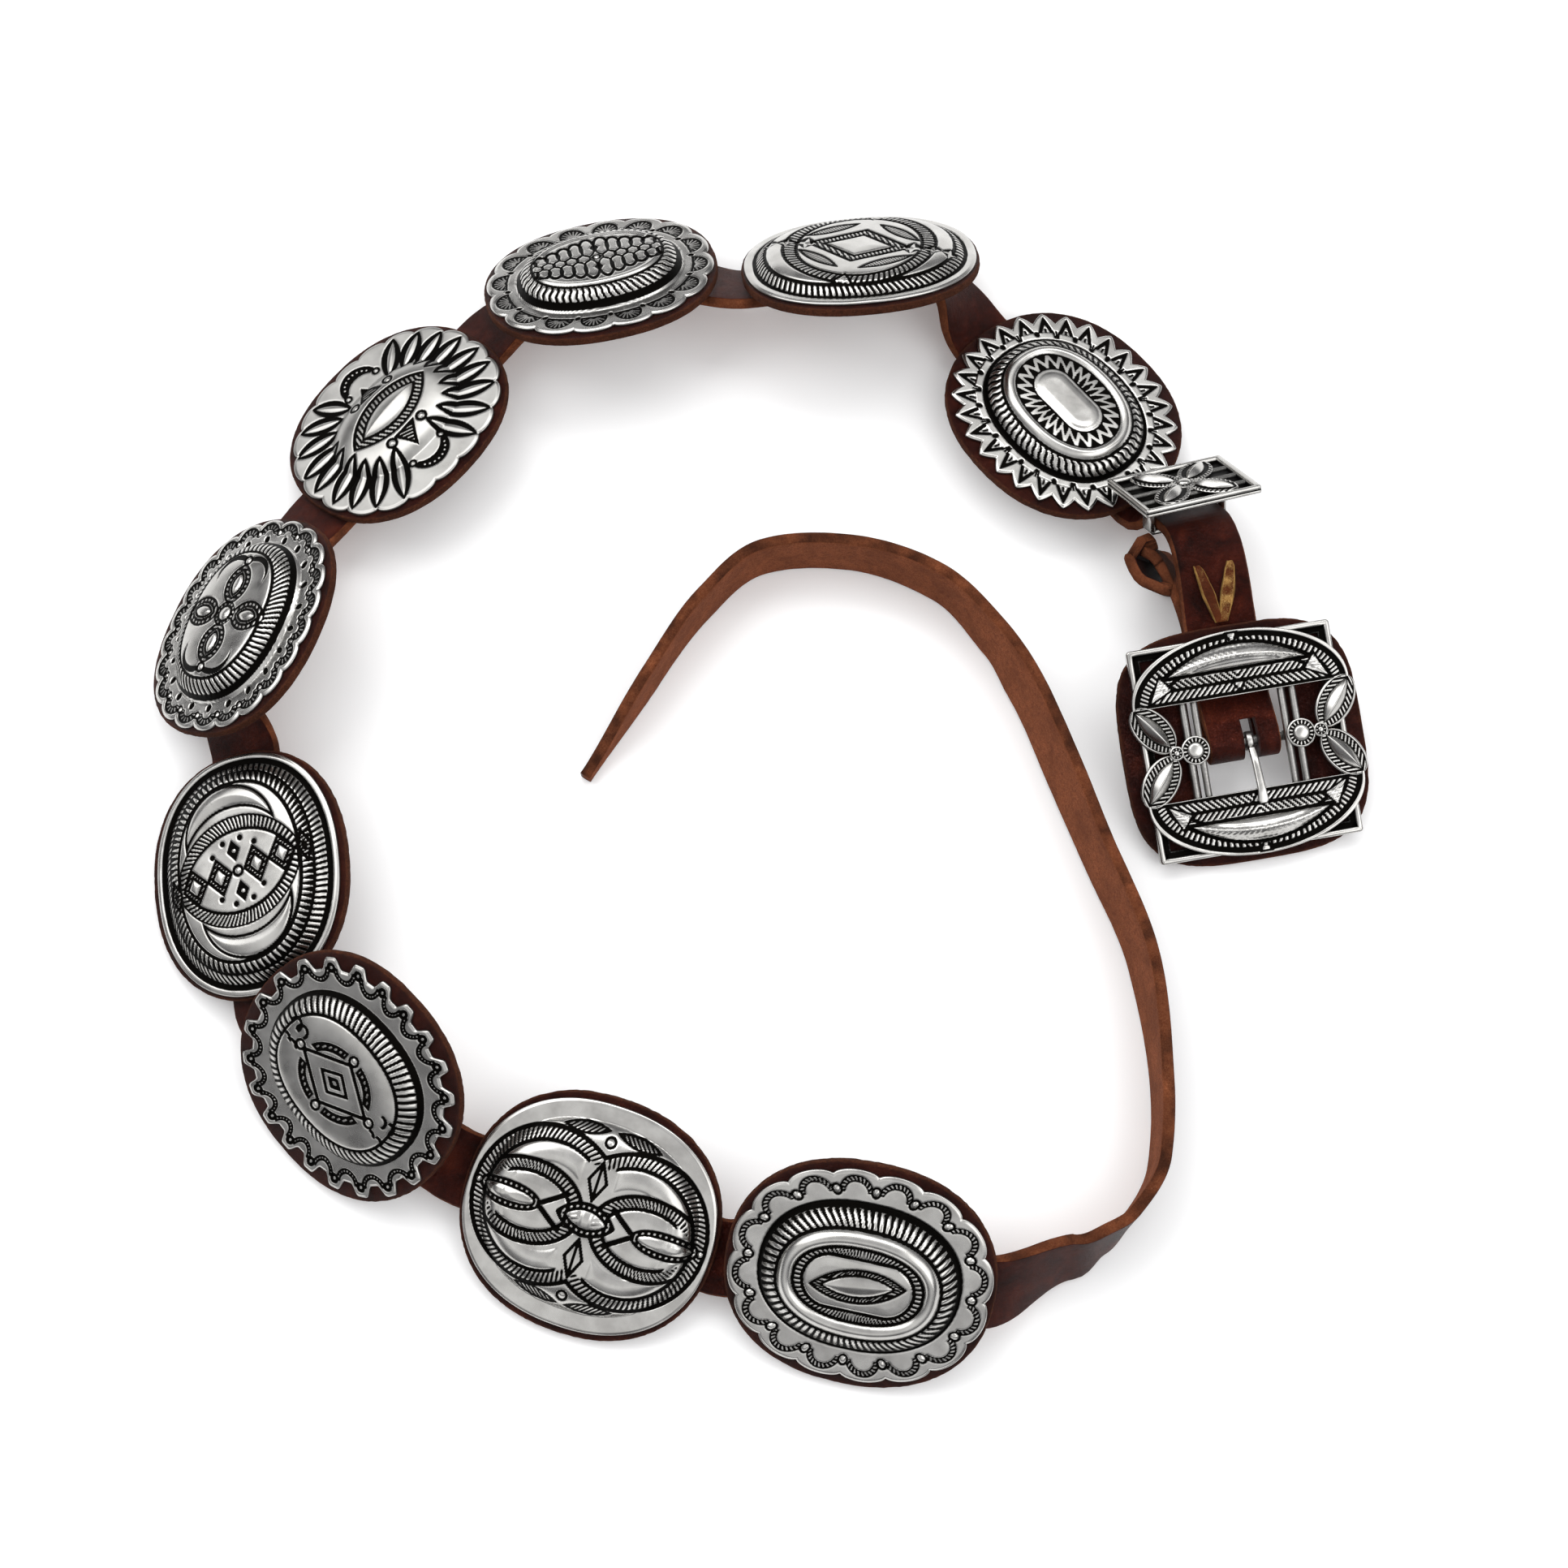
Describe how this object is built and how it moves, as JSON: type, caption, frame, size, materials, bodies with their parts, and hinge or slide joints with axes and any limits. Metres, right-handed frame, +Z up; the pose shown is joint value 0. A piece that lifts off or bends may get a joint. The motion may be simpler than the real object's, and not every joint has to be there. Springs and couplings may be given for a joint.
{
  "type": "concho belt",
  "caption": "Leather belt laid out in an open ring, with domed oval silver conchos on leather backings, a square overlaid buckle, a keeper and a long free end.",
  "frame": {"origin": "middle of the belt outline, on the surface it lies on", "axes": "+Z up, +X to the right and +Y away from the viewer of the picture, with the buckle at +X"},
  "size_m": [0.4222, 0.4246, 0.0481],
  "materials": {
    "silver": "aged silver, polished on the raised parts and dark in the stamped lines",
    "strap_leather": "heavy oxblood leather, waxed grain side, orange-brown rough flesh side and cut edges",
    "backing_leather": "dark brown leather, rough orange-brown cut edge",
    "lace_leather": "worn orange-brown thong with pale raw edges"
  },
  "bodies": {
    "belt": {"concho_1": "silver", "concho_2": "silver", "concho_3": "silver", "concho_4": "silver", "concho_5": "silver", "concho_6": "silver", "concho_7": "silver", "concho_8": "silver", "concho_9": "silver", "backing_1": "backing_leather", "backing_2": "backing_leather", "backing_3": "backing_leather", "backing_4": "backing_leather", "backing_5": "backing_leather", "backing_6": "backing_leather", "backing_7": "backing_leather", "backing_8": "backing_leather", "backing_9": "backing_leather", "strap": "strap_leather", "buckle": "silver", "buckle_backing": "backing_leather", "keeper": "silver", "lace": "lace_leather"},
    "tongue": {"buckle_tongue": "silver"}
  },
  "joints": [
    {"name": "tongue_hinge", "type": "hinge", "parent": "belt", "child": "tongue", "pos_m": [0.16954, 0.00471, 0.0123], "axis": [-0.9848, -0.1736, 0], "range_deg": [0, 100]}
  ]
}
